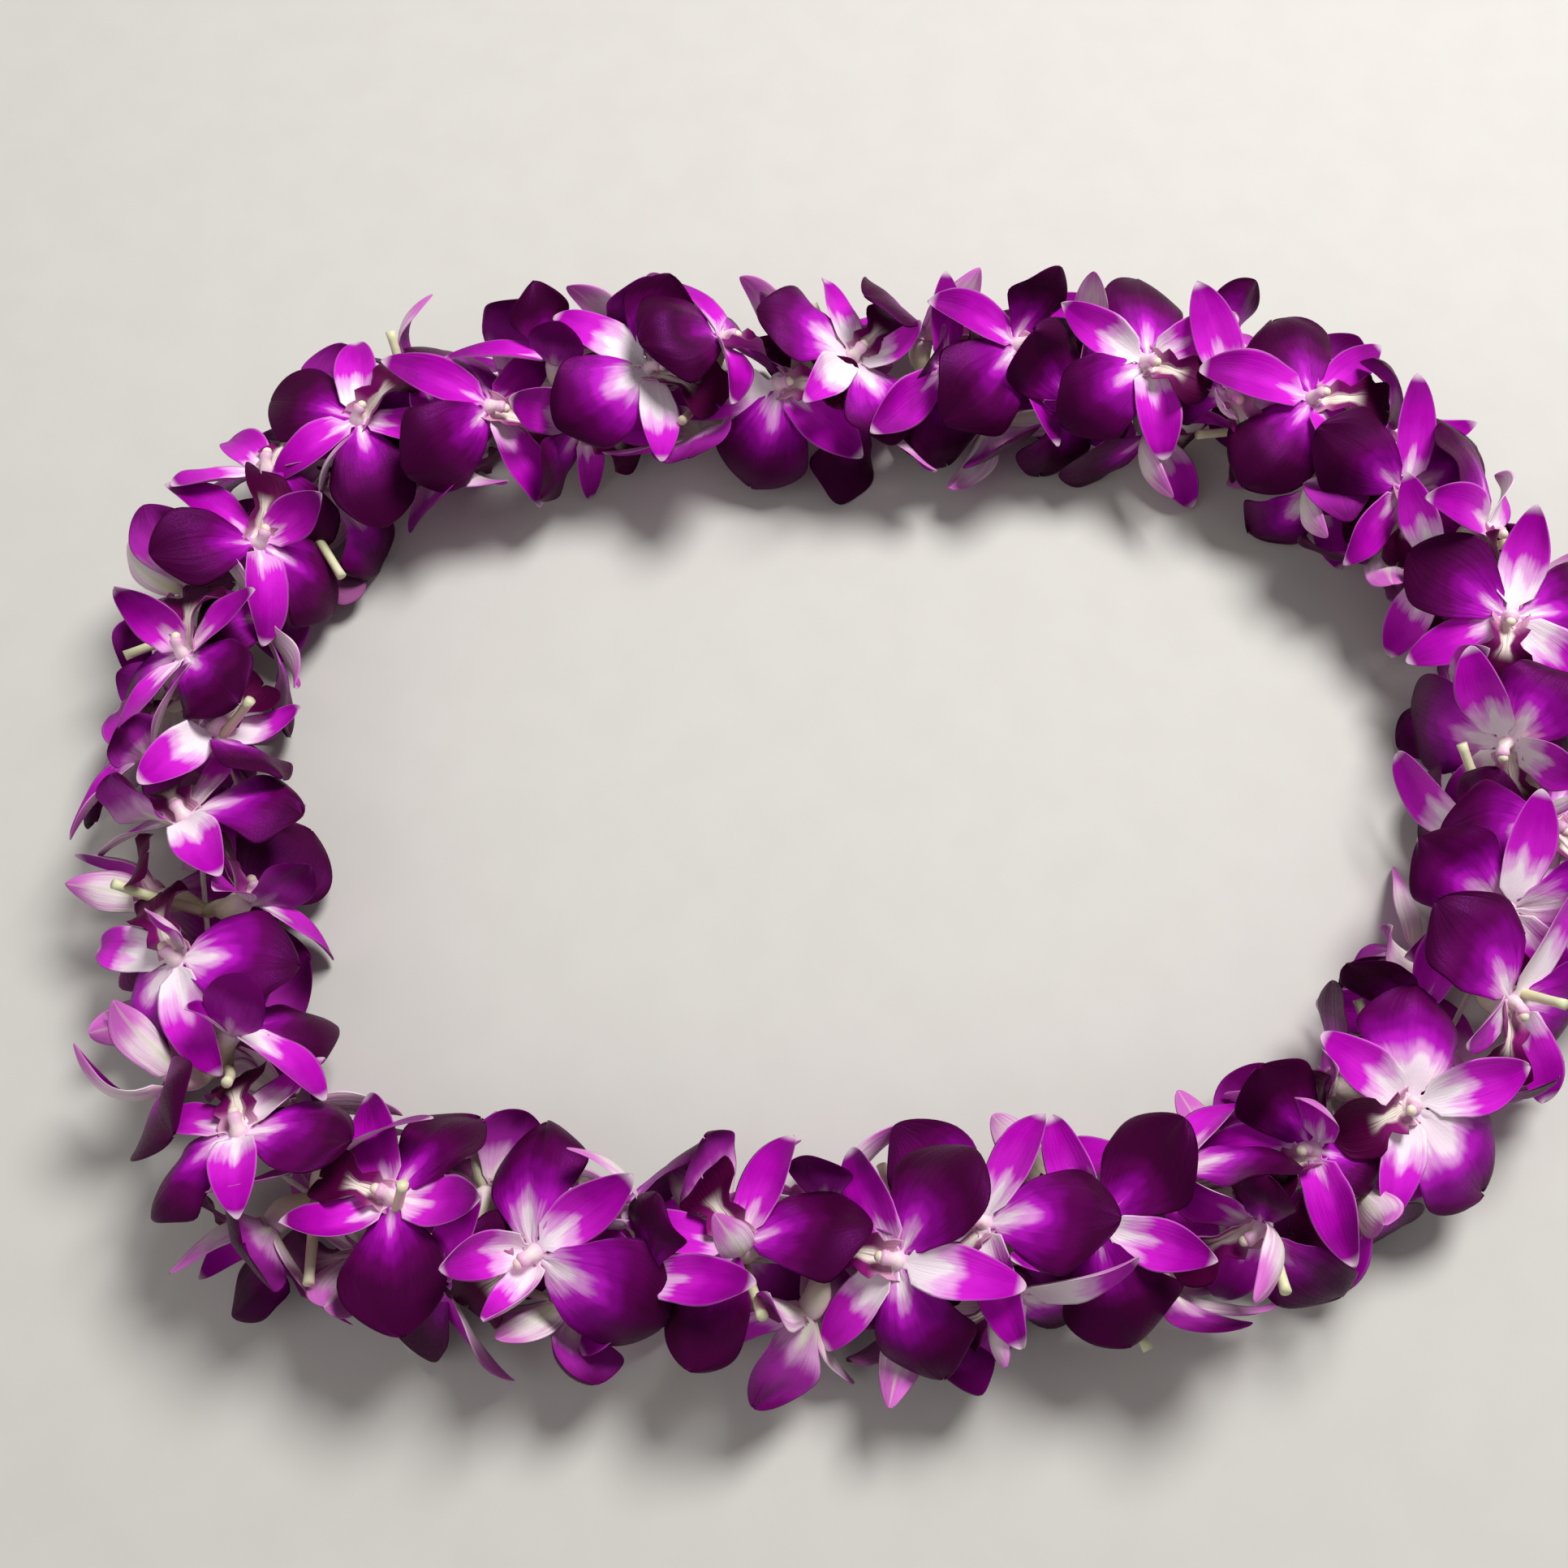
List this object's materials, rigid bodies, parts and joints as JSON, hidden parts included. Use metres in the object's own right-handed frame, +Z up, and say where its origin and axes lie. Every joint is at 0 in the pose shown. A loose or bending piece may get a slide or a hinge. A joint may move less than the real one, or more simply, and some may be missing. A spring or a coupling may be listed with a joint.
{
  "type": "fresh flower lei",
  "caption": "Fresh orchid lei: a closed garland of purple blossoms strung on one thread, lying flat in a rounded rectangle, worn round the neck or laid as a wreath.",
  "frame": {"origin": "on the surface the lei lies on, below the middle of its box", "axes": "+Z up, +X along the ring's longer side, +Y along its shorter side, away from the viewer in the picture"},
  "size_m": [0.4052, 0.3048, 0.0479],
  "materials": {
    "petal": "velvety satin, deep plum with magenta and white bases",
    "lip": "velvety dark maroon with a cream streak",
    "column": "waxy cream",
    "stem": "smooth pale green",
    "thread": "matt twisted cotton"
  },
  "bodies": {
    "root": {"thread": "thread", "blossoms_01": "petal", "blossoms_02": "petal", "blossoms_03": "petal", "blossoms_04": "petal", "blossoms_05": "petal", "blossoms_06": "petal", "blossoms_07": "petal", "blossoms_08": "petal", "blossoms_09": "petal", "blossoms_10": "petal", "blossoms_11": "petal", "blossoms_12": "petal", "blossoms_13": "petal", "blossoms_14": "petal", "blossoms_15": "petal", "blossoms_16": "petal", "blossoms_17": "petal", "blossoms_18": "petal", "blossoms_19": "petal", "blossoms_20": "petal", "blossoms_21": "petal", "blossoms_22": "petal", "blossoms_23": "petal", "blossoms_24": "petal", "blossoms_25": "petal", "blossoms_26": "petal", "blossoms_27": "petal", "blossoms_28": "petal", "blossoms_29": "petal", "blossoms_30": "petal", "blossoms_31": "petal", "blossoms_32": "petal", "blossoms_33": "petal", "blossoms_34": "petal", "blossoms_35": "petal", "blossoms_36": "petal", "blossoms_37": "petal", "blossoms_38": "petal", "blossoms_39": "petal", "blossoms_40": "petal", "blossoms_41": "petal", "blossoms_42": "petal", "blossoms_43": "petal", "blossoms_44": "petal", "blossoms_45": "petal", "blossoms_46": "petal", "blossoms_47": "petal", "blossoms_48": "petal"}
  },
  "joints": []
}
